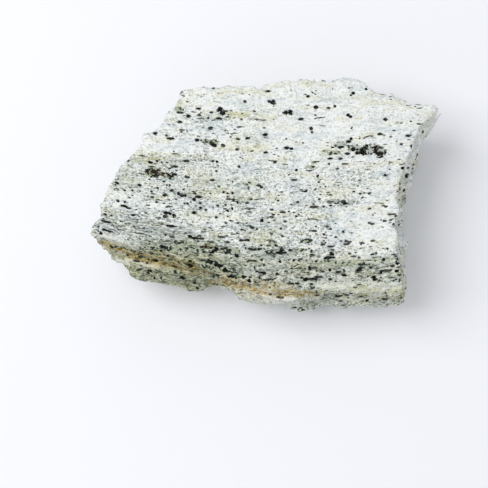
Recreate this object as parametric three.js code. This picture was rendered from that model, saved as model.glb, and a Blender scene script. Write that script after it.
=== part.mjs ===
// Mica schist hand specimen: one broken slab of pale, dark-flecked schist, lying on its back.
// Millimetres, +Z up. +X runs along the streaks of the rock, and +Y across its layers.
// The origin is the centre of the footprint, on the surface that the slab rests on.
//
// A box grid is warped into the slab. Each grid point has a place along the streaks (u),
// across the layers (v) and up the slab (w), all from 0 to 1. Three outlines give the plan:
// the rim of the broad face, the waist where the sides stand out most, and the foot.
import * as THREE from "three";
import { ImprovedNoise } from "three/addons/math/ImprovedNoise.js";
import { mergeVertices } from "three/addons/utils/BufferGeometryUtils.js";

// Driving dimensions
const faceHeight = 26; // the broad face above the surface under the slab
const waistLevel = 0.42; // share of the height at which the sides stand out most
const footInset = 0.92; // size of the foot outline beside the waist outline
const columns = 46; // grid cells along the streaks
const rows = 28; // grid cells across the layers
const layersUp = 14; // grid cells up the sides
const layerStep = 1.5; // thickness of a layer that breaks away in one piece

// Outlines, from the left end to the right end and from the front to the back
const edge = (...corners) =>
  new THREE.Path(corners.map(([x, y]) => new THREE.Vector2(x, y)));

const rim = {
  front: edge(
    [-44.6, -12], [-39.7, -13.9], [-34.8, -15.2], [-29.4, -17.4], [-22, -19.3],
    [-15, -21.8], [-10.5, -23.6], [-5.4, -25.6], [1, -27], [7, -27.8],
    [14, -27.4], [22, -26.6], [29.5, -26.2], [35, -25.6],
  ),
  back: edge(
    [-22.6, 26.8], [-20.4, 28.6], [-16.8, 29.5], [-10, 29.4], [-6.4, 28.6],
    [-1.7, 27.7], [-0.7, 29.1], [2.7, 29.7], [13.4, 31], [20, 31.8],
    [23.4, 30.8], [26.5, 29.2], [29.2, 26.9], [31.5, 26.3], [33, 27],
    [35, 25], [38.6, 23.6], [42, 23.4], [44.2, 22.8],
  ),
  left: edge(
    [-44.6, -12], [-45.2, -10.4], [-44.7, -8.4], [-43, -7.2], [-42.9, -5],
    [-42.5, -3.2], [-41, -0.8], [-40.4, 1.6], [-38.8, 3.8], [-36, 8],
    [-33.7, 10.8], [-30.6, 14.9], [-28.8, 16.5], [-26, 20.4], [-24.2, 23],
    [-22.6, 26.8],
  ),
  right: edge(
    [35, -25.6], [35.2, -24.2], [34.4, -20.7], [34.6, -16.3], [34.5, -12],
    [34, -8.2], [34.6, -6], [34.2, -2.3], [34.8, 1.4], [36, 5.7],
    [37.7, 11], [40, 14.6], [42, 17.4], [43.8, 20], [44.2, 22.8],
  ),
};

const waist = {
  front: edge(
    [-43.6, -12.6], [-42.4, -13.6], [-41.2, -15.2], [-38.2, -16.9],
    [-37.2, -18.4], [-35.4, -20.4], [-33.6, -21.2], [-29, -21.7],
    [-26.5, -22.6], [-22, -23], [-18.8, -22.7], [-14.5, -22], [-11, -23],
    [-9, -24.7], [-7, -26.2], [-4.5, -27.4], [-0.3, -28.4], [4.2, -28.9],
    [7.3, -28.9], [11, -28.2], [16.3, -27.3], [21.8, -27.8], [26, -27.9],
    [32.5, -27], [35.8, -26.4],
  ),
  back: edge(
    [-20.6, 22.6], [-10, 25.4], [-2, 23.8], [0, 25.6], [8, 26.8], [19, 26.6],
    [25, 24.2], [30, 21.4], [33, 21.8], [38, 21.4], [47, 22.4],
  ),
  left: edge(
    [-43.6, -12.6], [-43.2, -9.8], [-41.4, -8], [-40.8, -4.4], [-38.8, -1.6],
    [-37.6, 1.8], [-33.8, 7], [-31.2, 10.4], [-27.2, 14.6], [-24, 19],
    [-20.6, 22.6],
  ),
  right: edge(
    [35.8, -26.4], [36.4, -23], [36.2, -19.6], [37, -16.4], [37.1, -9.7],
    [36.2, -7], [36.4, -3.5], [37.2, 0.5], [37.8, 4.3], [38.4, 7.6],
    [39.7, 11.9], [42, 15.9], [45.6, 19.4], [47, 22.4],
  ),
};

// Corners that broke off along a plane: a point of the plane, and the way it faces
const brokenCorners = [
  { at: [-33, 18, 8], facing: [-0.62, 0.5, -0.6] },
  { at: [-38, -13, 7], facing: [-0.62, -0.3, -0.72] },
  { at: [-20, 25, 12], facing: [-0.25, 0.93, -0.28] },
  { at: [12, 26.4, 8], facing: [0.12, 0.8, -0.59] },
  { at: [43.6, 19.6, 7], facing: [0.7, 0.45, -0.55] },
  { at: [35.5, -9, 5], facing: [0.8, -0.1, -0.6] },
  { at: [33, -26, 6], facing: [0.45, -0.62, -0.64] },
  { at: [5, -26.5, 5], facing: [-0.1, -0.72, -0.69] },
  { at: [-24, -21, 5], facing: [-0.1, -0.62, -0.78] },
  { at: [44.8, 20, 24.8], facing: [0.7, 0.1, 0.7] },
];

const noise = new ImprovedNoise();

// Soft noise of a given grain in millimetres, from about -1 to 1
function grain(point, size, offset = 0) {
  return noise.noise(
    point.x / size + offset,
    point.y / size + 0.37 * offset,
    point.z / size - offset,
  );
}

// Plan of one outline, filled in between its four edges
function plan(outline, u, v) {
  const front = outline.front.getPoint(u);
  const back = outline.back.getPoint(u);
  const left = outline.left.getPoint(v);
  const right = outline.right.getPoint(v);
  const corners = outline.front
    .getPoint(0)
    .lerp(outline.front.getPoint(1), u)
    .lerp(outline.back.getPoint(0).lerp(outline.back.getPoint(1), u), v);
  return front.lerp(back, v).add(left.lerp(right, u)).sub(corners);
}

function footPlan(u, v) {
  return plan(waist, u, v).multiplyScalar(footInset).add(new THREE.Vector2(0.4, -0.6));
}

// Height of the broad face: nearly level, then rounding over towards the front
function faceAt({ x, y }) {
  const shoulder = -14.6 - 0.09 * x; // where the face starts to round over
  const past = Math.max(0, shoulder - y);
  const roundOver = 0.33 * past + 0.022 * past * past;
  const missingLayer = 1.3 * ramp(x, 11, 20) * ramp(y, 23.4, 26);
  const nose = 0.12 * Math.max(0, x - 39);
  const backTilt = 0.03 * Math.max(0, y);
  return faceHeight - roundOver - missingLayer - nose - backTilt;
}

// Height of the underside: flat patches that carry the slab, with shallow hollows between
function undersideAt({ x, y }) {
  const wave = grain({ x, y, z: 0 }, 17, 5.3) + 0.5 * grain({ x, y, z: 0 }, 7, 2.1);
  return Math.max(0, 2.8 * (wave - 0.1));
}

// Place of one grid point on the slab, before it is roughened
function place(u, v, level) {
  const top = plan(rim, u, v);
  const middle = plan(waist, u, v);
  const foot = footPlan(u, v);
  const lowest = undersideAt(foot);
  const height = lowest + (faceAt(top) - lowest) * level;
  const risen = (level - waistLevel) / (1 - waistLevel);
  const tuck = Math.sqrt(Math.min(1, level / waistLevel));
  const flat = risen > 0 ? middle.lerp(top, risen) : foot.lerp(middle, tuck);
  const point = new THREE.Vector3(flat.x, flat.y, height);
  return breakCorners(point);
}

// Moves a point that lies past a broken corner's plane back onto that plane
function breakCorners(point) {
  for (const { at, facing } of brokenCorners) {
    const normal = new THREE.Vector3(...facing).normalize();
    const past = new THREE.Vector3(...at).sub(point).dot(normal);
    if (past < 0) point.addScaledVector(normal, past);
  }
  return point;
}

function warpedSlab() {
  const box = new THREE.BoxGeometry(1, 1, 1, columns, rows, layersUp);
  box.deleteAttribute("normal");
  box.deleteAttribute("uv");
  const slab = mergeVertices(box, 1e-4);
  const points = slab.getAttribute("position");
  for (let i = 0; i < points.count; i++) {
    const [u, v, level] = [points.getX(i), points.getY(i), points.getZ(i)];
    const { x, y, z } = place(u + 0.5, v + 0.5, level + 0.5);
    points.setXYZ(i, x, y, z);
  }
  return slab;
}

// Rises from 0 to 1 between two values
function ramp(value, from, to) {
  return THREE.MathUtils.smoothstep(value, from, to);
}

// Turns a smooth height into terraces one layer thick, with a steep lip between them
function terrace(height) {
  const layer = height / layerStep;
  const below = Math.floor(layer);
  return layerStep * (below + ramp(layer - below, 0.4, 0.6) - 0.5);
}

// How far the surface stands out at a point. The front and back broke along the layers, into
// terraces. The ends broke across them, into ribs. The broad face has the ribs only faintly.
function relief(point, normal) {
  const across = ramp(Math.abs(normal.y), 0.55, 0.9);
  const along = Math.abs(normal.x);
  const depth = point.y - 0.55 * point.z; // distance through the layers
  const stretched = { x: point.x / 4.5, y: point.y / 3, z: point.z };
  const terraces = terrace(3.4 * grain(stretched, 5.2, 7.7));
  const ribs = grain({ x: point.x / 6, y: depth, z: point.z / 8 }, 4, 9.1);
  const waves = (0.6 + 0.5 * along) * grain(point, 15, 1.7);
  const lumps = (0.25 + 0.8 * along) * grain(point, 6, 7.9);
  return waves + lumps + across * terraces + (0.25 + 1.2 * along) * ribs;
}

// Pushes each point along its normal by the relief, and keeps the flat patches flat
function roughen(slab) {
  slab.computeVertexNormals();
  const points = slab.getAttribute("position");
  const normals = slab.getAttribute("normal");
  for (let i = 0; i < points.count; i++) {
    const point = new THREE.Vector3().fromBufferAttribute(points, i);
    const normal = new THREE.Vector3().fromBufferAttribute(normals, i);
    const share = ramp(point.z, 0, 2); // no relief on the patches that carry the slab
    point.addScaledVector(normal, share * relief(point, normal));
    points.setXYZ(i, point.x, point.y, Math.max(0, point.z));
  }
  slab.deleteAttribute("normal");
  return slab;
}

// Moves the slab so that the origin is the middle of its footprint
function centred(slab) {
  slab.computeBoundingBox();
  const middle = slab.boundingBox.getCenter(new THREE.Vector3());
  slab.translate(-middle.x, -middle.y, -slab.boundingBox.min.z);
  slab.computeVertexNormals();
  return slab;
}

const schist = new THREE.MeshStandardMaterial({
  color: 0xd3d6d0,
  roughness: 0.85,
  metalness: 0,
});

const slab = new THREE.Mesh(centred(roughen(warpedSlab())), schist);
slab.name = "schist_slab";

const specimen = new THREE.Group();
specimen.add(slab);

export default specimen;
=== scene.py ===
# Mica schist hand specimen: a broken slab of pale, dark-flecked schist on a pale floor.
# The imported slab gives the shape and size. A finer copy of it carries the grain of the rock:
# ribs where layers crop out, plates and broken edges, and the colour of its minerals.
import math
import random

import bpy
import numpy as np
from mathutils import Matrix, Vector, kdtree, noise
from mathutils.bvhtree import BVHTree


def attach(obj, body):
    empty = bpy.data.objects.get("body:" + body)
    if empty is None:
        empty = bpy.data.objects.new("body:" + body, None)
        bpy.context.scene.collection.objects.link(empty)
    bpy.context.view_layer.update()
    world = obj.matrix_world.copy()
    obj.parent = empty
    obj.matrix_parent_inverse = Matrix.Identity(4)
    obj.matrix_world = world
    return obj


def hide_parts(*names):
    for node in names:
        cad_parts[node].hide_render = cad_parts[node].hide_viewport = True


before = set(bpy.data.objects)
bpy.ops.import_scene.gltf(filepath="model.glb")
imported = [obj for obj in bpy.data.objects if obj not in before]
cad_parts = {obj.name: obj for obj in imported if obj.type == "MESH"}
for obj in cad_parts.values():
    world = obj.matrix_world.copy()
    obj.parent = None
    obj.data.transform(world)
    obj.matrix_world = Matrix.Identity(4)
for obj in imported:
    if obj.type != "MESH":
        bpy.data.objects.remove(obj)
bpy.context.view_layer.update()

MM = 0.001  # metres in a millimetre

# ---------------------------------------------------------------- the slab, in millimetres
VOXEL = 0.42  # spacing of the fine mesh
FACE_HEIGHT = 26  # the broad face above the floor
SHOULDER = -13.5  # about the Y where the broad face rounds over to the front, at an X of 0
SHOULDER_SLANT = 0.09  # how far that moves to the front for each millimetre to the right
LAYER_LEAN = 0.55  # how far a layer leans back for each millimetre of height
STREAK_LEVEL = 5  # the X at which a streak is level
BEND_LEFT = 0.0026  # how far it bends up to the left of there, times the distance squared
BEND_RIGHT = 0.0015  # and to the right

# ---------------------------------------------------------------- minerals, in millimetres
GRAIN = 0.36  # sugary grains of quartz and feldspar, drawn as coarse as they need to show
STREAK_LENGTH = 1.5  # thin dark streaks of mica, along the layers
STREAK_WIDTH = 0.36
FLECK_LENGTH = 0.9  # fine dark flecks between the large ones
FLECK_WIDTH = 0.55
GRAIN_DEPTH = 0.12  # how much lower the large dark grains lie, as they break out more easily
MARK_REACH = 0.6  # how far past a mark's outline its offset is kept
FAR_AWAY = 9.0  # the offset of a place that no mark is near

SHEETS = 3  # neighbouring marks are kept in different sheets, so that they don't run together
HIDDEN_GRAINS = 900  # random dark grains on the sides that the camera doesn't see
HIDDEN_SEED = 7

# Soft patterns: their size in mm along the streaks, across the layers and up the layers, then how
# much fine detail they have, how rough it is, and where the pattern starts
MOTTLES = {
    "sugar": ((1.2 * GRAIN, 0.8 * GRAIN, GRAIN), 2, 0.7, 0),
    "tint": ((8, 2.2, 5), 5, 0.65, 3.3),
    "epidote_and_painted_shade": ((3, 0.9, 2), 4, 0.65, 9.1),
    "dust": ((2.4, 0.7, 1.6), 4, 0.7, 5.5),
    # the seams: mica along the layers, and painted shade in the cracks between them
    "seams_and_crack_shade": ((1.5, 0.3, 1.1), 3, 0.6, 1.7),
    "rust": ((2.4, 0.9, 1.8), 5, 0.7, 4.1),
    "rust spots": ((1.5, 0.8, 1.2), 3, 0.6, 5.2),
    "swarms": ((8, 3, 6), 2, 0.5, 4.7),
    "ragged edges": ((0.8, 0.4, 0.7), 3, 0.6, 7.9),
    "halos": ((1.6, 0.7, 1.2), 3, 0.6, 3.8),
}
# Crystals: their size in mm, in the same three directions, and where the pattern starts
CRYSTALS = {
    "sugar": ((1.3 * GRAIN, GRAIN, 1.1 * GRAIN), 0),
    "flakes": ((STREAK_LENGTH, STREAK_WIDTH, 0.5 * STREAK_LENGTH), 1.7),
    "flecks": ((FLECK_LENGTH, FLECK_WIDTH, 0.7 * FLECK_LENGTH), 6.3),
    "specks": ((0.7 * FLECK_LENGTH, 0.6 * FLECK_WIDTH, 0.5 * FLECK_LENGTH), 2.2),
    "glints": ((0.7, 0.5, 0.6), 8.2),
    "clusters": ((0.55, 0.35, 0.5), 2.9),
    "holes": ((0.5, 0.4, 0.45), 5.7),
}
# Small dark crystals: the share of them in clean and in coarse rock, and their two colours
SMALL_CRYSTALS = {
    "flakes": (0.002, 0.05, "#3B4338", "#6E766A"),
    "flecks": (0.001, 0.02, "#14181A", "#4A4A3A"),
    "specks": (0.005, 0.075, "#14181A", "#50564A"),
}
# Large grains, from the lowest to the topmost: their two colours, the share of the second, and
# how far large ones are broken up
# The black grains' paler second colour is partly painted glint, and partly paler crystals
LARGE_GRAINS = {
    "film": ("#4C554C", "#B4BAB0", 0.65, 0.25),
    "green": ("#28332A", "#A9B19A", 0.52, 0.25),
    "brown": ("#0C0A05", "#6A6248", 0.3, 0.6),
    "black": ("#020302", "#3A413A", 0.16, 0.25),
}
# The sugary ground mass, from its darkest crystals to its palest: (place on the ramp, colour)
GROUND = [(0.12, "#79807A"), (0.3, "#BCC2BA"), (0.46, "#E9EDEA"), (0.78, "#F9FBF8")]

# Sockets of a colour mix: its amount, the colours under and over, and the result
AMOUNT, UNDER, OVER, MIXED = 0, 6, 7, 2

# ---------------------------------------------------------------- camera
AIM = (-6.13, -14.31, 24)  # the middle of the picture, on the broad face, in mm
CAMERA_DISTANCE = 430  # mm
CAMERA_LEAN = (3, 9)  # degrees towards +X and towards the front
PICTURE_WIDTH = 125.4  # mm, at the aim's distance
PICTURE_PIXELS = 488  # across and down
PIXEL = PICTURE_WIDTH / PICTURE_PIXELS  # mm that a pixel covers on the broad face
SENSOR = 36  # mm across, in the camera

# ---------------------------------------------------------------- places on the rock
# Places are where the camera sees them: pixels across and down its picture. Lengths are along
# the streaks, and they and the widths are in pixels too.
# Black grains: (across, down, length, width)
BLACK_GRAINS = [
    # top left
    (180, 112.5, 6, 2), (188.7, 116, 4, 3), (180, 122, 4, 2.5), (155, 133.5, 4, 3),
    (166.5, 135.5, 2, 2), (170, 138.5, 7, 2.2), (197, 140, 3.5, 3), (140, 145.5, 4, 2),
    (128.5, 160.5, 2, 2), (150.5, 162.5, 4, 2.5), (175.5, 166.5, 4, 2.2), (198.5, 108.5, 4, 2),
    (211.5, 112.5, 3, 2), (220, 109.5, 7, 5), (223, 112.5, 7, 5), (226.5, 111.5, 3, 2.5),
    (210.5, 128, 4, 3), (214, 145.3, 5.5, 2.8), (206.5, 141.8, 2.6, 2),
    # top middle
    (268, 91, 4, 2), (270, 101.5, 3.5, 3), (273, 102.5, 5, 5), (245, 101.5, 2.5, 2.2),
    (285.5, 112.5, 5, 5), (290.5, 112.5, 4.5, 5.5), (300.5, 119, 4, 2), (247.5, 138, 4, 2.2),
    (265.5, 134.5, 4.5, 2.5), (238, 139.2, 3, 1.8), (286.5, 147.8, 4, 2.5), (291.5, 148.8, 3, 2),
    (237, 149.3, 3, 2), (266, 152.5, 3.5, 2), (213, 161, 2.5, 2), (217, 161.8, 2.2, 2.2),
    (239, 166.5, 2.2, 2.2), (275, 162.5, 2.5, 1.8),
    # top right
    (308, 96.3, 2.5, 2.2), (353, 93.3, 3.5, 2.5), (351, 95, 2, 1.8), (316, 107.3, 4.5, 3.2),
    (328.5, 108, 3, 1.8), (335, 106.3, 2.4, 2), (348, 115, 3, 2.5), (350.5, 116.8, 3, 2.2),
    (385.5, 119.3, 4.5, 3.2), (311, 128.5, 3.6, 3.4), (312, 132, 2, 2), (380, 134, 4, 2),
    (408, 135.8, 4, 2), (401.5, 144.3, 2.5, 1.8), (411.7, 146.7, 2.8, 3.4), (423, 132, 2, 3),
    (425, 141, 2, 2.5), (417, 155.5, 2, 3), (402.7, 168, 3, 2.4),
    # the chain of large grains
    (341, 147, 5, 2.5), (347.5, 153.6, 4, 2), (330.3, 158.5, 4, 2), (340.5, 158.6, 3.5, 1.8),
    (329, 164, 2, 1.8), (348.5, 141.5, 4.5, 3), (351, 139, 3, 3), (349, 146.5, 2.2, 4.5),
    (353, 149.6, 4.5, 3), (361.5, 152.5, 10, 5), (364.5, 148.5, 5.5, 5.5), (366.5, 145.8, 3, 2.4),
    (357.5, 149.5, 2, 2), (375.5, 151, 5.5, 4.5), (379.5, 153.5, 8, 4.8), (380.5, 156.8, 5, 1.8),
    (385.3, 152.3, 2.4, 5), (357, 153.5, 2, 1.8), (371, 154, 1.8, 1.8),
    # middle left
    (118, 183.5, 2.5, 2), (139.7, 185, 3, 2.2), (124.8, 190.5, 2, 1.8), (132.4, 190.3, 2, 1.8),
    (157.5, 188, 2, 2), (169.7, 185, 2, 1.8), (170, 178.5, 2, 2), (118, 201, 2.8, 2.4),
    (125, 202, 2, 2), (124, 206, 5, 2.4), (128.5, 208, 4, 1.8), (156.5, 202, 2.5, 2),
    (152, 197, 3, 1.8), (165, 195, 4, 3), (178.5, 193.5, 3, 3), (182, 195.5, 5, 3),
    (185.5, 195.5, 2, 3), (194, 199.5, 3.5, 3.5), (199, 197, 6, 2), (184.5, 203.5, 2, 1.8),
    (187.5, 203.5, 2, 1.8), (194, 212.5, 3.5, 3), (105, 214.3, 3, 2), (111.5, 215.5, 2, 1.8),
    (103, 220.5, 4, 2), (107, 222, 8, 2), (98.3, 226.5, 2, 1.8), (104.5, 229.7, 4, 2.2),
    (108.5, 231, 7, 1.8), (100.8, 233, 2.5, 2.4), (102.5, 239.3, 5, 1.8), (166, 213, 4, 3),
    (165, 216.5, 4, 2.6), (170, 213.5, 3, 3), (171, 226, 8, 2.2), (165.5, 235, 2, 2),
    (172, 237, 4, 1.8), (190, 236.5, 4, 3), (195, 238, 7, 2.2), (201, 238.5, 5, 1.8),
    # middle
    (212.5, 180.2, 4.5, 1.8), (216.5, 171, 2, 2), (218.8, 186.5, 2.4, 1.8), (223.5, 192, 1.8, 2.4),
    (258.5, 185.5, 4, 1.6), (261.5, 187.2, 3, 2), (248.3, 188.6, 2, 2), (232.5, 193, 2.5, 2.5),
    (233.5, 199.7, 3, 2), (251.3, 199.2, 2.2, 1.8), (247.5, 203, 3, 1.8), (237.5, 202.5, 1.8, 2.2),
    (217.8, 205.5, 2.4, 1.8), (225.5, 204.8, 2, 1.8), (232.2, 208.7, 2, 3), (206, 210, 2, 2),
    (200.5, 208, 2.5, 2.5), (200.5, 203.3, 2.2, 1.8), (283, 212.2, 4.5, 1.8), (271.8, 209.5, 2.6, 1.6),
    (297.5, 202.3, 2.4, 2), (278.2, 200.8, 2, 1.8), (296.5, 170, 2.4, 2), (294, 180, 5, 1.6),
    (262, 220.3, 3.2, 3.2), (271.5, 216.8, 3, 1.6), (285, 221.3, 2.6, 1.8), (281, 228.5, 2, 1.8),
    (252.2, 228, 2.4, 1.8), (282.2, 236, 1.8, 1.8), (216.2, 217, 2.2, 1.8), (226, 223, 2.6, 1.6),
    (238, 223, 2.4, 1.6), (221.5, 237, 6, 1.6), (227.5, 242, 4, 1.8), (211, 242, 4, 1.6),
    (241.5, 240.5, 4, 2), (247, 240, 5, 2.2),
    # middle right
    (317.7, 176, 2.2, 2.6), (318.8, 182, 1.8, 1.8), (306, 191, 2.4, 1.8), (353.8, 191.5, 2.6, 1.8),
    (369.7, 193.3, 3, 1.8), (360.5, 193.7, 2.6, 2), (319.3, 199, 2, 1.8), (385, 175, 2.2, 2.2),
    (406.6, 176, 3.4, 4.6), (403.7, 190, 3, 3.4), (337.5, 168.5, 2.6, 1.6), (343.5, 201.5, 4, 2.6),
    (345, 203.5, 4, 2.4), (314, 207, 7, 1.8), (323.5, 206.5, 2, 1.8), (369.5, 208.7, 3, 1.6),
    (392, 214.3, 7, 1.6), (396, 216, 3, 1.8), (384.5, 221, 3.4, 1.8), (369.5, 222.8, 2.4, 1.8),
    (372, 223.8, 3.2, 1.8), (327.5, 226.5, 3, 1.6), (330.7, 229, 2, 1.8), (324, 234.3, 2, 2),
    (314.5, 231, 4, 1.8), (347, 241.3, 4, 1.6), (350, 241.7, 2.4, 1.6), (362, 243, 4, 1.8),
    (373, 240.7, 3.6, 1.6), (346.5, 244, 5, 1.6),
    # front, left
    (162.5, 246.5, 5, 3.4), (161, 251, 2, 2), (168, 256, 2.6, 2.6), (190.5, 261, 3, 2),
    (190, 265.5, 7, 3.2), (112, 247.2, 2, 2), (136, 261, 6, 1.8), (150, 271, 5, 2.8),
    (148.5, 273, 3, 2), (156, 272, 4, 1.6), (154.5, 277.5, 2, 3), (161, 278, 2, 2.4),
    (194.5, 282.8, 2.4, 2), (216.5, 248.5, 4, 5), (213.5, 250.5, 3, 2.4), (212, 252.7, 4, 1.6),
    (225.7, 252.6, 2, 1.8), (211, 261.5, 5, 3), (220, 266, 6, 3.4), (225, 270, 5, 3.4),
    (216, 265, 3, 2.4), (217.5, 275, 4, 3), (231, 276.5, 6, 2.2), (244, 276.5, 4, 2.4),
    (249.5, 280.5, 4, 4), (249.5, 284.6, 2.4, 1.8),
    # front, middle
    (253.5, 249.7, 5, 2), (250, 248.8, 4, 1.6), (282, 250.5, 4, 2.6), (279.5, 252.7, 6, 2.4),
    (284, 252.5, 4, 1.8), (281.5, 247.7, 2, 1.8), (290, 250, 1.8, 2), (293.8, 260.3, 2.2, 2),
    (276, 245.5, 3, 2), (250, 260.5, 4, 1.6), (255, 261, 4, 1.6), (261.5, 259.7, 2.4, 1.8),
    (264, 265, 2, 1.8), (280, 261.5, 2, 2.6), (254.3, 267.5, 1.8, 4), (257, 271.5, 3, 1.8),
    (260.5, 272.8, 4, 1.6), (263.5, 273, 4, 2.4), (277, 274.5, 3, 3.4), (286, 271.5, 3, 1.6),
    (266.5, 280, 4, 1.6), (270.5, 279.3, 4, 1.6), (259.5, 277.5, 2, 2.4), (291, 283.8, 6, 1.8),
    (297, 283.5, 5, 1.8),
    # front, right
    (331.5, 253.5, 4, 3.2), (332.5, 250, 3, 1.8), (327, 258, 6, 3), (332, 257.5, 5, 2),
    (309.5, 268.5, 3, 5), (311.5, 251, 2.4, 3), (312.5, 255, 4, 1.8), (316, 261.3, 2.4, 2),
    (323, 271.5, 3, 1.8), (330, 269.7, 2.4, 3), (338.5, 271.6, 5, 1.6), (344, 270.5, 2, 3),
    (344, 275.3, 4, 2.2), (361, 268, 4, 1.8), (359, 270, 6, 2), (371, 267.3, 2.6, 2.2),
    (381, 272.5, 3, 3), (386, 270.5, 8, 1.6), (396.5, 271, 4, 2.4), (392.5, 266, 4, 1.8),
    (373.5, 277.5, 4, 3.4), (375, 279.5, 4, 2), (306, 279.5, 6, 3.4), (312, 279, 8, 2.4),
    (302, 278, 3, 2), (318, 277, 6, 1.6), (330, 279.3, 3, 1.8), (311.5, 284, 3, 1.8),
    (383.7, 259.5, 3, 3), (398.5, 259, 3.4, 3), (396.5, 262, 1.8, 2.4), (395.7, 256.3, 2.4, 1.6),
    (376, 253.3, 2, 1.8), (349.7, 253.5, 2.4, 1.6), (354, 256.5, 6, 1.5), (359, 257.7, 3, 1.6),
    (387.6, 248.8, 1.8, 2), (323, 244.5, 4, 1.8), (329.5, 246.5, 4, 1.8), (367, 300.5, 3, 2),
    (399, 275, 3, 1.8), (399.5, 280, 2, 3.4),
]
# Brown-black grains
BROWN_GRAINS = [
    (147, 171, 6, 4), (152, 172.5, 10, 8.5), (157.5, 172.5, 5, 7.5), (162, 174, 7, 4.5),
    (168, 175.5, 10, 3.6), (174, 174.5, 5, 2.4), (182, 130, 4, 1.8), (157, 161, 2, 2),
    (219, 118.5, 5, 2), (241.5, 119, 2, 2), (376.5, 147.5, 8, 4.5), (400, 184, 2, 2),
    (399.3, 189.5, 2, 2), (227.5, 193.5, 1.8, 1.8), (227.5, 196.8, 1.8, 1.8), (229, 199.2, 5, 1.6),
    (172, 190.5, 4, 2.5), (174, 215.5, 4, 3.5), (236.5, 256, 4, 2.6), (176, 267, 3, 1.8),
    (155.5, 260.5, 5, 2.6), (127.5, 255.3, 2, 1.8), (280.5, 297.3, 6, 2), (270.5, 294, 3, 2),
    (337, 296.3, 3.4, 1.8), (206, 247.3, 10, 2.4), (184, 277.5, 7, 4.5), (186, 161, 6, 1.8),
]
# Dark green grains, and loose green smears behind the crowded black ones
GREEN_GRAINS = [
    (179, 109.5, 9, 4.5), (213, 142.5, 11, 6), (205, 141, 8, 4.5), (153, 172.5, 19, 10),
    (168, 175, 16, 6), (223, 145.5, 4, 3), (334, 153, 14, 4.5), (326, 151, 6, 2.6),
    (116.5, 189.5, 4, 2.2), (310, 167, 8, 2.6), (273, 242.5, 9, 4), (214, 271, 10, 4),
    (305, 240, 3, 3.4), (363, 296.5, 9, 1.8), (378, 203, 5, 1.8), (194.5, 193.5, 4, 2),
    (184, 264, 5, 2), (212, 262, 22, 6), (224, 270, 24, 6), (236, 276, 16, 4), (213, 277, 12, 4),
    (203, 266, 10, 5), (184, 256, 12, 3), (176, 272, 10, 3), (270, 252, 10, 3), (151, 253.3, 14, 1.8),
    (131, 250.5, 8, 1.8), (100, 244.5, 8, 1.8), (113, 246, 10, 2), (124, 247.5, 6, 2),
    (172, 249, 22, 5), (152, 246, 14, 5), (196, 250, 20, 5), (230, 251, 22, 7), (178, 242, 16, 4),
    (330, 262, 14, 4), (180, 279, 20, 6), (306, 241, 12, 5), (197, 277.3, 13, 1.8), (202, 262, 12, 1.8),
    (300, 250, 12, 3), (345, 264, 16, 3), (366, 264, 14, 3),
]
# Thin grey films of mica, seen edge on
MICA_FILMS = [
    (253, 118.8, 9, 1.8), (261, 120, 8, 1.6), (231, 110.5, 3, 1.6), (265, 137, 4, 1.6),
    (384, 135.3, 3, 1.6), (397, 122.6, 3, 1.6), (401, 122.6, 3, 1.6), (340, 145, 12, 7),
    (355, 147, 12, 6), (365, 150.5, 15, 9), (380, 151.5, 13, 11), (371, 146, 3, 2),
    (154.5, 194, 6, 1.8), (189, 195, 5, 4.5), (147, 196.5, 3, 1.6), (114, 223.5, 5, 1.6),
    (95.5, 233, 5, 1.6), (145.8, 212.8, 3, 2), (167, 240.4, 8, 1.6), (217.5, 180.3, 3, 1.6),
    (214, 167, 8, 1.4), (236, 179.3, 4, 1.6), (241, 183.5, 7, 1.6), (258, 190.5, 5, 1.6),
    (237, 191.5, 3.4, 3), (267, 217.6, 9, 1.6), (209, 217, 6, 1.5), (209.5, 222.8, 5, 1.5),
    (210, 227.7, 5, 1.5), (218, 240, 6, 2.6), (365, 193, 4, 1.6), (311, 188.5, 2, 1.6),
    (332, 201.5, 9, 2), (351.5, 202.5, 5, 2.2), (382.5, 203.3, 3, 1.6), (140, 249, 5, 3),
    (229, 263, 3, 3), (314, 268, 6, 3.6), (310, 230.7, 3, 1.5), (362, 248, 4, 1.5),
]
# Patches where the ground mass is grey with mica: (across, down, length, width, strength)
GREY_PATCHES = [
    (154, 232, 98, 30, 1.0), (150, 272, 55, 16, 0.9), (205, 260, 80, 24, 0.7), (225, 268, 34, 12, 0.6),
    (315, 268, 130, 22, 0.25), (370, 272, 70, 20, 0.45), (198, 141, 36, 11, 0.3),
    (208, 118, 40, 8, 0.5), (155, 171, 36, 13, 0.6), (262, 226, 55, 20, 0.45), (290, 174, 40, 14, 0.15),
    (355, 177, 48, 14, 0.35), (186, 195, 40, 12, 0.6), (276, 252, 36, 10, 0.9), (213, 250, 32, 10, 1.0),
    (343, 202, 36, 8, 0.8), (192, 161, 40, 11, 0.6), (312, 207, 22, 6, 0.6), (175, 252, 90, 26, 1.0),
    (235, 265, 60, 16, 0.3), (125, 220, 60, 22, 0.6), (243, 205, 30, 14, 0.5), (175, 244, 90, 15, 1.0),
]
# Patches of clean, pale rock with few dark flecks, one of them partly painted light
PALE_AND_PAINTED_LIGHT_PATCHES = [
    (370, 110, 110, 44, 0.9), (372, 214, 55, 24, 0.7), (375, 238, 60, 18, 0.7), (375, 288, 70, 12, 0.6),
    (235, 95, 70, 16, 0.7), (322, 140, 50, 24, 0.5), (114, 239, 32, 10, 0.8), (215, 221, 44, 12, 0.4),
    # the patch at (422, 110) on the right end's tip is partly painted light: it lightens a tip that
    # slopes away from the lamp
    (285, 125, 50, 18, 0.5), (422, 110, 40, 26, 0.9), (128, 263, 36, 6, 0.9), (270, 299, 60, 8, 0.9),
    (165, 145, 60, 14, 0.5), (150, 205, 50, 7, 0.3), (120, 198, 30, 14, 0.5), (345, 286, 90, 9, 0.5),
    (145, 265, 50, 5, 0.9), (358, 256, 44, 7, 0.6), (255, 290, 50, 9, 0.5),
]
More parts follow.
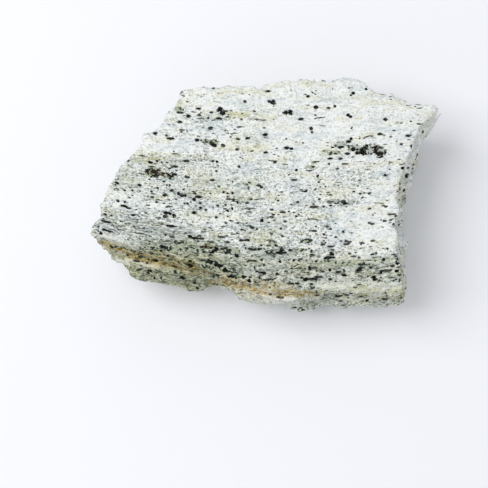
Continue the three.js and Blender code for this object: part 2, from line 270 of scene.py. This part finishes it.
# Yellow-green patches of epidote, one of them partly painted shade
OLIVE_AND_PAINTED_SHADE_PATCHES = [
    (222, 93, 30, 12, 0.5), (178, 104, 16, 14, 0.6), (240, 115, 60, 9, 0.8), (253, 145, 22, 22, 0.5),
    (152, 160, 60, 12, 0.7), (125, 178, 36, 30, 0.5), (205, 183, 46, 22, 0.5), (251, 182, 24, 12, 0.5),
    # the tall patch at (402, 195), on the right end's side, is partly painted shade that darkens that
    # strip
    (258, 237, 26, 9, 1.0), (206, 246, 34, 8, 1.0), (240, 197, 44, 12, 0.5), (402, 195, 12, 44, 0.6),
    (325, 216, 26, 8, 0.5), (335, 188, 50, 12, 0.35), (360, 262, 90, 7, 0.7), (190, 243, 34, 6, 0.6),
    (178, 255, 80, 20, 0.5), (225, 262, 60, 16, 0.4), (106, 246, 30, 12, 0.9), (368, 290, 90, 14, 0.6),
    (365, 293, 75, 8, 0.5), (310, 292, 60, 8, 0.6), (332, 152, 30, 8, 0.6), (350, 98, 90, 6, 0.3),
    (427, 115, 28, 22, 0.15),
]
# The rust that seeps along the front edge, as a route: (across, down, width)
RUST_ROUTE = [
    (92, 241, 7), (105, 245, 9), (118, 249, 12), (130, 254, 12), (142, 257, 12), (155, 260, 16),
    (170, 263, 12), (185, 266, 13), (200, 268, 17), (210, 277, 12), (222, 281, 12), (245, 287, 15),
    (272, 290, 17), (300, 294, 10), (322, 295, 4),
]


def linear(hex_colour):
    """Linear RGBA of an sRGB hex colour."""
    parts = [int(hex_colour[i : i + 2], 16) / 255 for i in (1, 3, 5)]
    return (*[c / 12.92 if c <= 0.04045 else ((c + 0.055) / 1.055) ** 2.4 for c in parts], 1)


def add(tree, kind, links, output=0, **settings):
    """Adds a node with its settings and links, and gives back one of its outputs.

    Each of links is a socket of the node, and a value or another node's output.
    """
    made = tree.nodes.new(kind)
    for name, value in settings.items():
        setattr(made, name, value)
    for socket, value in links.items():
        if isinstance(value, bpy.types.NodeSocket):
            tree.links.new(value, made.inputs[socket])
        else:
            made.inputs[socket].default_value = value
    return made.outputs[output] if made.outputs else None


def ramp(values, low, high):
    """Rises smoothly from 0 at low to 1 at high."""
    share = np.clip((values - low) / (high - low), 0, 1)
    return share * share * (3 - 2 * share)


def grain_noise(places, size, offset):
    """Soft noise at each place, about -1 to 1. size is in mm, one for all or one for each axis."""
    scaled = places / np.array(size, float) + offset
    return np.array([noise.noise(place) for place in scaled.tolist()])


# ---------------------------------------------------------------- shape
def fine_copy(source):
    """A copy of the slab with an even, fine mesh."""
    piece = bpy.data.objects.new("schist_rock", source.data.copy())
    bpy.context.scene.collection.objects.link(piece)
    remesh = piece.modifiers.new("fine", "REMESH")
    remesh.mode = "VOXEL"
    remesh.voxel_size = VOXEL * MM
    remeshed = piece.evaluated_get(bpy.context.evaluated_depsgraph_get())
    mesh = bpy.data.meshes.new_from_object(remeshed)
    piece.modifiers.clear()
    piece.data = mesh
    return piece


def mesh_arrays(mesh):
    """Places in mm and normals of a mesh's vertices."""
    places = np.empty(len(mesh.vertices) * 3)
    mesh.vertices.foreach_get("co", places)
    normals = np.empty(len(mesh.vertices) * 3, np.float32)
    mesh.vertex_normals.foreach_get("vector", normals)
    return places.reshape(-1, 3) / MM, normals.reshape(-1, 3).astype(float)


def streak_bend(x, y):
    """How far a streak has bent up from level, in mm: most at the ends and towards the front."""
    past = x - STREAK_LEVEL
    curve = np.where(past < 0, BEND_LEFT, BEND_RIGHT) * past**2
    return curve * np.clip(0.6 - 0.02 * y, 0.15, 1)


def in_layers(places):
    """Places as distances along the streaks, across the layers and up the layers."""
    x, y, z = places.T
    up = z - FACE_HEIGHT
    level = y - streak_bend(x, y)
    tilt = math.hypot(1, LAYER_LEAN)
    across = (level - LAYER_LEAN * up) / tilt
    up_layer = (LAYER_LEAN * level + up) / tilt
    return np.stack([x, across, up_layer], 1)


def terraces(height, step):
    """Turns a smooth height into flat steps with steep lips."""
    layer = height / step
    below = np.floor(layer)
    return step * (below + ramp(layer - below, 0.35, 0.65) - 0.5)


def relief(places, normals, layers):
    """How far the broken surface stands out at each place, in mm.

    Each form is soft noise of a size in mm, times its height in mm. The noise's last number only
    moves it, so that no two forms follow each other.
    """
    steep = 1 - np.abs(normals[:, 2])
    end_on = ramp(np.abs(normals[:, 0]), 0.35, 0.8)
    front_or_back = ramp(np.abs(normals[:, 1]), 0.5, 0.85)
    lumps = 0.28 * grain_noise(places, 4.5, 3.1)
    ribs = 0.22 * grain_noise(layers, (9, 1.4, 6), 7.7)
    fine_ribs = (0.13 + 0.12 * steep) * grain_noise(layers, (3.6, 0.8, 2.4), 1.3)
    crumbs = (0.1 + 0.1 * steep) * grain_noise(places, 1.05, 5.9)
    plates = 0.8 * terraces(1.4 * grain_noise(layers, (7, 5, 3), 2.2), 0.5)
    layer_ends = 0.4 * np.tanh(3 * grain_noise(layers, (40, 1.7, 9), 4.4))
    end_plates = 0.9 * terraces(1.5 * grain_noise(places, (4, 9, 6), 6.3), 0.6)
    bumps = lumps + ribs + fine_ribs + crumbs + front_or_back * plates
    bumps += end_on * (layer_ends + end_plates)
    rim = ramp(steep, 0.1, 0.35) * ramp(-steep, -0.95, -0.6)
    chips = 0.8 * rim * np.maximum(0, grain_noise(places, 2.2, 2.8))
    worn_nose = ramp(places[:, 0], 38, 42)  # the right end's tip is worn round and smooth
    inset = 0.15 * ramp(steep, 0.2, 0.7)  # keeps the sides' bumps close to the slab's outline
    return (bumps - chips) * (1 - 0.7 * worn_nose) - inset


def move_points(mesh, places, normals, height):
    """Moves the mesh's points out by a height in mm. The patches that it rests on stay flat."""
    clear_of_floor = ramp(places[:, 2], 0.1, 1.6)
    moved = places + normals * (height * clear_of_floor)[:, None]
    moved[:, 2] = np.maximum(moved[:, 2], 0)
    mesh.vertices.foreach_set("co", (moved * MM).ravel())
    mesh.update()
    return moved


# ---------------------------------------------------------------- what the camera sees
def camera_view():
    """Where the camera is, in mm, and its directions: right, up and back."""
    back = np.array((*np.tan(np.radians(CAMERA_LEAN)), 1)) * (1, -1, 1)
    back /= np.linalg.norm(back)
    up = np.array((0, 1, 0)) - back * back[1]
    up /= np.linalg.norm(up)
    return np.array(AIM) + back * CAMERA_DISTANCE, np.cross(up, back), up, back


def seen_at(places):
    """Where the camera sees each place: pixels across and down its picture."""
    eye, right, up, back = camera_view()
    offset = places - eye
    scale = CAMERA_DISTANCE / (offset @ -back) / PIXEL
    sideways = np.stack([offset @ right, -(offset @ up)], 1)
    return PICTURE_PIXELS / 2 + sideways * scale[:, None]


def in_picture(places):
    """Places as the camera sees them, in mm: along the streaks, down across them, and closer."""
    eye, _, _, back = camera_view()
    across, down = seen_at(places).T * PIXEL
    return np.stack([across, down + streak_bend(*places.T[:2]), (places - eye) @ back], 1)


def on_rock(rock_faces, across, down):
    """The place on the rock that the camera sees at a pixel, and how squarely it faces the camera."""
    eye, right, up, back = camera_view()
    sideways = (across - PICTURE_PIXELS / 2) * right - (down - PICTURE_PIXELS / 2) * up
    place, normal, _, _ = rock_faces.ray_cast(Vector(eye * MM), Vector(AIM + sideways * PIXEL - eye))
    return (None, 0) if place is None else (np.array(place) / MM, np.array(normal) @ back)


# ---------------------------------------------------------------- minerals
def neighbours_of(places):
    """A search tree that finds the places near a point."""
    tree = kdtree.KDTree(len(places))
    for index, place in enumerate(places.tolist()):
        tree.insert(place, index)
    tree.balance()
    return tree


def lay_marks(marks, places, near, offsets, halves):
    """Gives each place near a mark its offset from that mark's middle, and half the mark's width.

    The offset is shortened along the mark, so that its length is half the width at the outline.
    """
    gaps = np.linalg.norm(offsets, axis=1) - halves
    for middle, length, width, depth in marks:
        half = width / 2
        radii = np.array((length, width, depth)) / 2
        found = [index for _, index, _ in near.find_range(middle, radii.max() + MARK_REACH)]
        if not found:
            continue
        offset = (places[found] - middle) / radii * half
        gap = np.linalg.norm(offset, axis=1) - half
        closer = gap < np.minimum(gaps[found], MARK_REACH)
        chosen = np.array(found)[closer]
        gaps[chosen] = gap[closer]
        offsets[chosen] = offset[closer]
        halves[chosen] = half


def placed_marks(rock_faces, table):
    """Marks that the camera sees, as middles in picture coordinates with their sizes in mm.

    A mark on rock that slants away reaches deeper, so that the slope doesn't cut it short.
    """
    least_facing = 0.33
    marks = []
    for across, down, length, width in table:
        place, facing = on_rock(rock_faces, across, down)
        if place is not None:
            depth = max(width, 0.6 * length) / max(facing, least_facing)
            sizes = np.array((length, width, depth)) * PIXEL
            marks.append((in_picture(place[None])[0], *sizes))
    return marks


def scattered_marks(rock_faces, places, layers):
    """Random grains on the rock that the camera doesn't see. Sizes are in mm."""
    chance = random.Random(HIDDEN_SEED)
    same_place = 2  # the camera sees a point if what it sees there is nearer to it than this
    seen = seen_at(places)
    marks = []
    while len(marks) < HIDDEN_GRAINS:
        index = chance.randrange(len(layers))
        place, _ = on_rock(rock_faces, *seen[index])
        if place is not None and np.linalg.norm(place - places[index]) < same_place:
            continue
        width = 0.28 + 0.25 * chance.random() + 0.8 * chance.random() ** 12  # a few are large
        length = width * chance.uniform(1.2, 4)
        marks.append((layers[index], length, width, max(width, 0.35 * length)))
    return marks


def patch_amount(places, normals, rock_faces, patches):
    """Strength of soft patches on the side that the camera sees."""
    amount = np.zeros(len(places))
    facing_up = ramp(normals[:, 2], -0.1, 0.4)
    level = places[:, 1] - streak_bend(places[:, 0], places[:, 1])
    for across, down, length, width, strength in patches:
        (x, y, _), _ = on_rock(rock_faces, across, down)
        middle = y - streak_bend(x, y)
        along_share = (places[:, 0] - x) / (length / 2 * PIXEL)
        across_share = (level - middle) / (width / 2 * PIXEL)
        share = along_share**2 + across_share**2
        amount = np.maximum(amount, strength * np.exp(-share))
    return amount * facing_up


def weathering(places, normals):
    """The yellow-brown rind of the front and sides, which starts past the broad face's shoulder.

    Strengths are from 0 to 1, and distances are in mm.
    """
    x, y, _ = places.T
    past_shoulder = SHOULDER - SHOULDER_SLANT * x - y
    front = 0.38 * ramp(past_shoulder, 0, 5)
    left_foot = 0.6 * ramp(-x, 6, 24) * ramp(past_shoulder, 3, 8)
    sides = 0.35 * ramp(-normals[:, 2], -0.4, 0.2)
    return np.maximum(front + left_foot, sides)


def rust_amount(places, normals):
    """Rust is strongest along its route, and fades to either side of it."""
    route = np.array(RUST_ROUTE, float)
    seen = seen_at(places)
    amount = np.zeros(len(places))
    for start, end in zip(route, route[1:]):
        run = (end - start)[:2]
        share = np.clip((seen - start[:2]) @ run / (run @ run), 0, 1)
        nearest = start + share[:, None] * (end - start)
        away = np.linalg.norm(seen - nearest[:, :2], axis=1)
        amount = np.maximum(amount, np.exp(-((2 * away / nearest[:, 2]) ** 2)))
    return amount * ramp(normals[:, 2], 0, 0.3)


def store(mesh, name, values, kind="FLOAT", key="value"):
    """Keeps a value at each vertex, for the material to read."""
    mesh.attributes.new(name, kind, "POINT").data.foreach_set(key, np.ravel(values))


def lay_grains(mesh, places, layers, rock_faces):
    """Stores the large grains, and gives back the amount of dark ones at each place."""
    picture = in_picture(places)
    near_in_picture = neighbours_of(picture)
    near_in_layers = neighbours_of(layers)
    hidden = scattered_marks(rock_faces, places, layers)
    tables = {"black": BLACK_GRAINS, "brown": BROWN_GRAINS, "green": GREEN_GRAINS, "film": MICA_FILMS}
    dark = np.zeros(len(places))
    for name, table in tables.items():
        shown = placed_marks(rock_faces, table)
        for sheet in range(SHEETS):
            offsets = np.full((len(places), 3), FAR_AWAY)
            halves = np.zeros(len(places))
            lay_marks(shown[sheet::SHEETS], picture, near_in_picture, offsets, halves)
            if name == "black":
                lay_marks(hidden[sheet::SHEETS], layers, near_in_layers, offsets, halves)
            store(mesh, f"{name} {sheet}", offsets, "FLOAT_VECTOR", "vector")
            store(mesh, f"{name} {sheet} half", halves)
            if name in ("black", "brown"):
                inside = halves - np.linalg.norm(offsets, axis=1)
                dark = np.maximum(dark, ramp(inside, -0.1, 0.3))
    return dark


def lay_minerals(mesh, places, normals):
    """Stores where each mineral lies, and gives back the amount of large dark grains."""
    layers = in_layers(places)
    polygons = [polygon.vertices[:] for polygon in mesh.polygons]
    rock_faces = BVHTree.FromPolygons([vertex.co for vertex in mesh.vertices], polygons)
    dark = lay_grains(mesh, places, layers, rock_faces)

    # The broad face: greyer to the front and the left, and in its grey patches
    clean_and_painted_light = patch_amount(places, normals, rock_faces, PALE_AND_PAINTED_LIGHT_PATCHES)
    drift = np.clip(0.26 - 0.003 * places[:, 0] - 0.009 * places[:, 1], 0, 0.5)
    grey = drift + (1 - drift) * patch_amount(places, normals, rock_faces, GREY_PATCHES)
    # Pale patches clear the grey; the one on the right end's tip is partly painted light
    grey = (1 - clean_and_painted_light) * grey - 0.4 * clean_and_painted_light
    olive_and_painted_shade = patch_amount(places, normals, rock_faces, OLIVE_AND_PAINTED_SHADE_PATCHES)

    # The underside and the steep sides, most of which the camera doesn't see
    unseen = ramp(-normals[:, 2], -0.5, 0.1)
    back_grey = 0.5 * ramp(grain_noise(layers, (16, 5, 10), 8.8), 0, 0.5)
    back_olive = 0.5 * ramp(grain_noise(layers, (9, 3, 6), 6.6), 0.1, 0.5)

    store(mesh, "layers", layers, "FLOAT_VECTOR", "vector")
    store(mesh, "grey", grey + unseen * (back_grey - grey))
    store(mesh, "olive_and_painted_shade", np.maximum(olive_and_painted_shade, unseen * back_olive))
    store(mesh, "rind", weathering(places, normals) * (1 - 0.7 * clean_and_painted_light))
    store(mesh, "rust", rust_amount(places, normals))
    return dark


# ---------------------------------------------------------------- mica schist
def broken_schist():
    """Mica schist, broken: sugary white quartz and feldspar with thin dark streaks of mica.

    The broken surface is dull and grainy, and only the dark grains have a soft gloss. A range's
    sockets are 0 for the value, 1 and 2 for its ends, and 3 and 4 for the results there.
    """
    made = bpy.data.materials.new("mica_schist")
    made.use_nodes = True
    tree = made.node_tree
    tree.nodes.clear()
    smooth = {"interpolation_type": "SMOOTHSTEP"}
    layers = add(tree, "ShaderNodeAttribute", {}, "Vector", attribute_name="layers")

    def in_units_of(size, start):
        """The layer coordinates in units of the given size in mm along, across and up the layers."""
        links = {0: layers, 1: [1 / part for part in size], 2: (start, start, start)}
        return add(tree, "ShaderNodeVectorMath", links, operation="MULTIPLY_ADD")

    def mottle(name):
        """Soft patches of the size that the pattern's row gives, from 0 to 1."""
        size, detail, rough, start = MOTTLES[name]
        links = {"Vector": in_units_of(size, start), "Scale": 1, "Detail": detail, "Roughness": rough}
        return add(tree, "ShaderNodeTexNoise", links, "Fac")

    def crystals(name):
        """A chance value from 0 to 1 for each crystal, with crystals of the size that the row gives."""
        links = {"Vector": in_units_of(*CRYSTALS[name]), "Scale": 1}
        cells = add(tree, "ShaderNodeTexVoronoi", links, "Color")
        return add(tree, "ShaderNodeSeparateColor", {0: cells})

    grey, olive_and_painted_shade, rind, rust = (
        add(tree, "ShaderNodeAttribute", {}, "Fac", attribute_name=name)
        for name in ("grey", "olive_and_painted_shade", "rind", "rust")
    )
    coarse = add(tree, "ShaderNodeMath", {0: rind, 1: 0.3, 2: grey}, operation="MULTIPLY_ADD")

    # Ground mass: sugary crystals, paler and darker, more uneven where the rock is grey
    sugar = mottle("sugar")
    soft = add(tree, "ShaderNodeMapRange", {0: sugar, 1: 0.25, 2: 0.75, 3: 0, 4: 0.4}, **smooth)
    links = {0: crystals("sugar"), 1: 0.6, 2: soft}
    tone = add(tree, "ShaderNodeMath", links, operation="MULTIPLY_ADD")
    ground = add(tree, "ShaderNodeValToRGB", {0: tone})
    stops = ground.node.color_ramp.elements
    for position, _ in GROUND[1:-1]:
        stops.new(position)
    for stop, (position, shade) in zip(stops, GROUND):
        stop.position = position
        stop.color = linear(shade)
    uneven = add(tree, "ShaderNodeMapRange", {0: coarse, 1: 0, 2: 0.4, 3: 0.45, 4: 1}, **smooth)
    links = {AMOUNT: uneven, UNDER: linear("#F1F4F2"), OVER: ground}
    colour = add(tree, "ShaderNodeMix", links, MIXED, data_type="RGBA")

    # Tints: cool feldspar and cream quartz, drawn out along the layers, and yellow-green epidote
    tint = mottle("tint")
    cool = add(tree, "ShaderNodeMapRange", {0: tint, 1: 0.52, 2: 0.36}, **smooth)
    cream = add(tree, "ShaderNodeMapRange", {0: tint, 1: 0.5, 2: 0.66}, **smooth)
    # On the right end's side the epidote patch is partly painted shade, darkening that strip
    patchy = add(tree, "ShaderNodeMapRange", {0: mottle("epidote_and_painted_shade"), 1: 0.36, 2: 0.62}, **smooth)
    epidote_and_painted_shade = add(tree, "ShaderNodeMath", {0: olive_and_painted_shade, 1: patchy}, operation="MULTIPLY")

    # Grey mica dust between the crystals
    dusty = add(tree, "ShaderNodeMapRange", {0: mottle("dust"), 1: 0.36, 2: 0.6}, **smooth)
    dust_share = add(tree, "ShaderNodeMapRange", {0: coarse, 1: 0, 2: 1, 3: 0.04, 4: 0.7}, **smooth)
    dust = add(tree, "ShaderNodeMath", {0: dusty, 1: dust_share}, operation="MULTIPLY")

    # Short grey seams along the layers: partly mica, partly painted shade in cracks between layers
    seam = mottle("seams_and_crack_shade")
    seam_limit = add(tree, "ShaderNodeMapRange", {0: coarse, 1: 0, 2: 1, 3: 0.62, 4: 0.5}, **smooth)
    over_limit = add(tree, "ShaderNodeMath", {0: seam, 1: seam_limit}, operation="SUBTRACT")
    seams_and_crack_shade = add(tree, "ShaderNodeMapRange", {0: over_limit, 1: 0, 2: 0.06, 3: 0, 4: 0.7}, **smooth)

    # Rust, patchy, over the ground mass and under the dark grains
    rusty = add(tree, "ShaderNodeMapRange", {0: mottle("rust"), 1: 0.34, 2: 0.56}, **smooth)
    rust_film = add(tree, "ShaderNodeMath", {0: rust, 1: rusty}, operation="MULTIPLY")
    spots = add(tree, "ShaderNodeMapRange", {0: mottle("rust spots"), 1: 0.54, 2: 0.64}, **smooth)
    thick = add(tree, "ShaderNodeMapRange", {0: rust, 1: 0.3, 2: 0.9}, **smooth)
    rust_spots = add(tree, "ShaderNodeMath", {0: spots, 1: thick}, operation="MULTIPLY")

    # The seams' grey is partly painted shade in the cracks between layers
    stains = [
        (cool, "#E9EDF0"), (cream, "#F4F1E2"), (epidote_and_painted_shade, "#CBC783"), (rind, "#E0DFC4"),
        (dust, "#A3A9A2"), (seams_and_crack_shade, "#8E958C"), (rust_film, "#F2D9A6"), (rust_spots, "#C6A766"),
    ]
    for amount, shade in stains:
        links = {AMOUNT: amount, UNDER: colour, OVER: linear(shade)}
        colour = add(tree, "ShaderNodeMix", links, MIXED, data_type="RGBA", blend_type="MULTIPLY")

    # Dark flakes of mica seen edge on, and fine dark flecks, both in loose swarms
    swarm_range = {0: mottle("swarms"), 1: 0.35, 2: 0.65, 3: -0.2, 4: 0.4}
    swarm = add(tree, "ShaderNodeMapRange", swarm_range, **smooth)
    crowd = add(tree, "ShaderNodeMath", {0: coarse, 1: 0.5, 2: swarm}, operation="MULTIPLY_ADD")
    glint = crystals("glints")
    shine = add(tree, "ShaderNodeMapRange", {0: glint, 1: 0.3, 2: 1}, **smooth)
    for name, (few, many, dark, light) in SMALL_CRYSTALS.items():
        limits = {0: crowd, 1: -0.1, 2: 1, 3: 1 - few, 4: 1 - many}
        limit = add(tree, "ShaderNodeMapRange", limits, **smooth)
        over = add(tree, "ShaderNodeMath", {0: crystals(name), 1: limit}, operation="SUBTRACT")
        amount = add(tree, "ShaderNodeMapRange", {0: over, 1: 0, 2: 0.004}, **smooth)
        links = {AMOUNT: shine, UNDER: linear(dark), OVER: linear(light)}
        inner = add(tree, "ShaderNodeMix", links, MIXED, data_type="RGBA")
        links = {AMOUNT: amount, UNDER: colour, OVER: inner}
        colour = add(tree, "ShaderNodeMix", links, MIXED, data_type="RGBA")

    # Large grains, each a cluster of dark crystals, more ragged the larger they are. Their edges
    # move in and out by whole crystals and by softer, finer noise.
    cluster = add(tree, "ShaderNodeMath", {0: crystals("clusters"), 1: 0.5}, operation="SUBTRACT")
    ragged = add(tree, "ShaderNodeMath", {0: mottle("ragged edges"), 1: 0.5}, operation="SUBTRACT")
    strong_ragged = add(tree, "ShaderNodeMath", {0: ragged, 1: 1.6}, operation="MULTIPLY")
    links = {0: cluster, 1: 0.5, 2: strong_ragged}
    edge = add(tree, "ShaderNodeMath", links, operation="MULTIPLY_ADD")
    holes = add(tree, "ShaderNodeMapRange", {0: crystals("holes"), 1: 0.74, 2: 0.78}, **smooth)

    def outlines(name):
        """Millimetres inside a grain's outline, below 0 outside it, and half the grain's width."""
        inside, half = -FAR_AWAY, 0
        for sheet in range(SHEETS):
            row = f"{name} {sheet}"
            offset = add(tree, "ShaderNodeAttribute", {}, "Vector", attribute_name=row)
            own_half = add(tree, "ShaderNodeAttribute", {}, "Fac", attribute_name=f"{row} half")
            away = add(tree, "ShaderNodeVectorMath", {0: offset}, "Value", operation="LENGTH")
            own = add(tree, "ShaderNodeMath", {0: own_half, 1: away}, operation="SUBTRACT")
            inside = add(tree, "ShaderNodeMath", {0: inside, 1: own}, operation="MAXIMUM")
            half = add(tree, "ShaderNodeMath", {0: half, 1: own_half}, operation="MAXIMUM")
        return inside, half

    def ragged_grains(inside, half, broken):
        """How much of each place is grain: whole inside its ragged outline, and fainter if thin."""
        sizes = {0: half, 1: 0.3, 2: 0.6, 3: 0, 4: broken}
        large = add(tree, "ShaderNodeMapRange", sizes, **smooth)
        lost = add(tree, "ShaderNodeMath", {0: holes, 1: large}, operation="MULTIPLY")
        depth = add(tree, "ShaderNodeMath", {0: inside, 1: lost}, operation="SUBTRACT")
        rough = add(tree, "ShaderNodeMath", {0: half, 1: 0.5, 2: 0.08}, operation="MULTIPLY_ADD")
        moved = {0: edge, 1: rough, 2: depth}
        reached = add(tree, "ShaderNodeMath", moved, operation="MULTIPLY_ADD")
        whole = add(tree, "ShaderNodeMapRange", {0: reached, 1: -0.12, 2: -0.05}, **smooth)
        thin = {0: half, 1: 0.15, 2: 0.3, 3: 0.85, 4: 1}
        faint = add(tree, "ShaderNodeMapRange", thin, **smooth)
        return add(tree, "ShaderNodeMath", {0: whole, 1: faint}, operation="MULTIPLY")

    outline_of = {name: outlines(name) for name in LARGE_GRAINS}

    # A faint brown halo round the dark grains
    links = {0: outline_of["black"][0], 1: outline_of["brown"][0]}
    nearest = add(tree, "ShaderNodeMath", links, operation="MAXIMUM")
    near = add(tree, "ShaderNodeMapRange", {0: nearest, 1: -0.5, 2: 0.1, 3: 0, 4: 0.45}, **smooth)
    uneven_halo = add(tree, "ShaderNodeMapRange", {0: mottle("halos"), 1: 0.35, 2: 0.6}, **smooth)
    halo = add(tree, "ShaderNodeMath", {0: near, 1: uneven_halo}, operation="MULTIPLY")
    links = {AMOUNT: halo, UNDER: colour, OVER: linear("#8C8D78")}
    colour = add(tree, "ShaderNodeMix", links, MIXED, data_type="RGBA", blend_type="MULTIPLY")

    amounts = {}
    for name, (dark, light, pale_share, broken) in LARGE_GRAINS.items():
        amounts[name] = ragged_grains(*outline_of[name], broken)
        # the paler cells: in the black grains partly painted glint, in the others paler crystals
        glints = {0: glint, 1: 0.95 - pale_share, 2: 1.05 - pale_share}
        pale = add(tree, "ShaderNodeMapRange", glints, **smooth)
        links = {AMOUNT: pale, UNDER: linear(dark), OVER: linear(light)}
        inner = add(tree, "ShaderNodeMix", links, MIXED, data_type="RGBA")
        links = {AMOUNT: amounts[name], UNDER: colour, OVER: inner}
        colour = add(tree, "ShaderNodeMix", links, MIXED, data_type="RGBA")

    # Relief too fine for the mesh, and a soft gloss on the dark grains
    height = add(tree, "ShaderNodeMath", {0: seam, 1: 0.8, 2: sugar}, operation="MULTIPLY_ADD")
    bump = add(tree, "ShaderNodeBump", {"Height": height, "Distance": 0.12 * MM, "Strength": 0.7})
    links = {0: amounts["black"], 1: amounts["brown"]}
    dark_amount = add(tree, "ShaderNodeMath", links, operation="MAXIMUM")
    dulls = {0: dark_amount, 1: 0, 2: 1, 3: 0.82, 4: 0.42}
    roughness = add(tree, "ShaderNodeMapRange", dulls, **smooth)
    looks = {"Base Color": colour, "Roughness": roughness, "Normal": bump}
    stone = {"IOR": 1.54, "Specular IOR Level": 0.12}
    shader = add(tree, "ShaderNodeBsdfPrincipled", looks | stone)
    add(tree, "ShaderNodeOutputMaterial", {0: shader})
    return made


# ---------------------------------------------------------------- floor, light and camera
def pale_floor():
    """A wide floor of matt white board, pale and even. It isn't part of the object."""
    bpy.ops.mesh.primitive_plane_add(size=6)  # metres
    floor = bpy.context.object
    floor.name = "floor"
    made = bpy.data.materials.new("matt_white_board")
    made.use_nodes = True
    shader = made.node_tree.nodes["Principled BSDF"]
    shader.inputs["Base Color"].default_value = linear("#F4F5F9")
    shader.inputs["Roughness"].default_value = 0.9
    floor.data.materials.append(made)


def soft_light():
    """One large soft light from the left, and a bright even room. Places and sizes are in metres."""
    lamp = bpy.data.lights.new("window", "AREA")
    lamp.size = 0.6
    lamp.energy = 4.15
    window = bpy.data.objects.new("window", lamp)
    window.location = (-0.45, 0.12, 0.75)
    aim = Vector((0, 0, 0.02)) - window.location
    window.rotation_euler = aim.to_track_quat("-Z", "Y").to_euler()
    bpy.context.scene.collection.objects.link(window)
    world = bpy.data.worlds.new("room")
    world.use_nodes = True
    room = world.node_tree.nodes["Background"]
    room.inputs["Color"].default_value = linear("#FBFCFF")
    room.inputs["Strength"].default_value = 0.66
    bpy.context.scene.world = world


def camera_above():
    """A camera that looks down on the broad face, from a little in front and to the right."""
    eye, right, up, back = camera_view()
    lens = bpy.data.cameras.new("camera")
    lens.sensor_width = SENSOR
    lens.lens = SENSOR * CAMERA_DISTANCE / PICTURE_WIDTH
    camera = bpy.data.objects.new("camera", lens)
    turn = Matrix((right, up, back)).transposed()
    camera.matrix_world = Matrix.Translation(eye * MM) @ turn.to_4x4()
    bpy.context.scene.collection.objects.link(camera)
    bpy.context.scene.camera = camera


# ---------------------------------------------------------------- the piece
rock = fine_copy(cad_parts["schist_slab"])
smooth_places, normals = mesh_arrays(rock.data)
stands_out = relief(smooth_places, normals, in_layers(smooth_places))
rough_places = move_points(rock.data, smooth_places, normals, stands_out)
dark_grains = lay_minerals(rock.data, rough_places, normals)
move_points(rock.data, rough_places, normals, -GRAIN_DEPTH * dark_grains)
rock.data.materials.clear()
rock.data.materials.append(broken_schist())
rock.data.shade_smooth()
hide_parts("schist_slab")
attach(rock, "root")

pale_floor()
soft_light()
camera_above()
bpy.context.scene.view_settings.view_transform = "Standard"
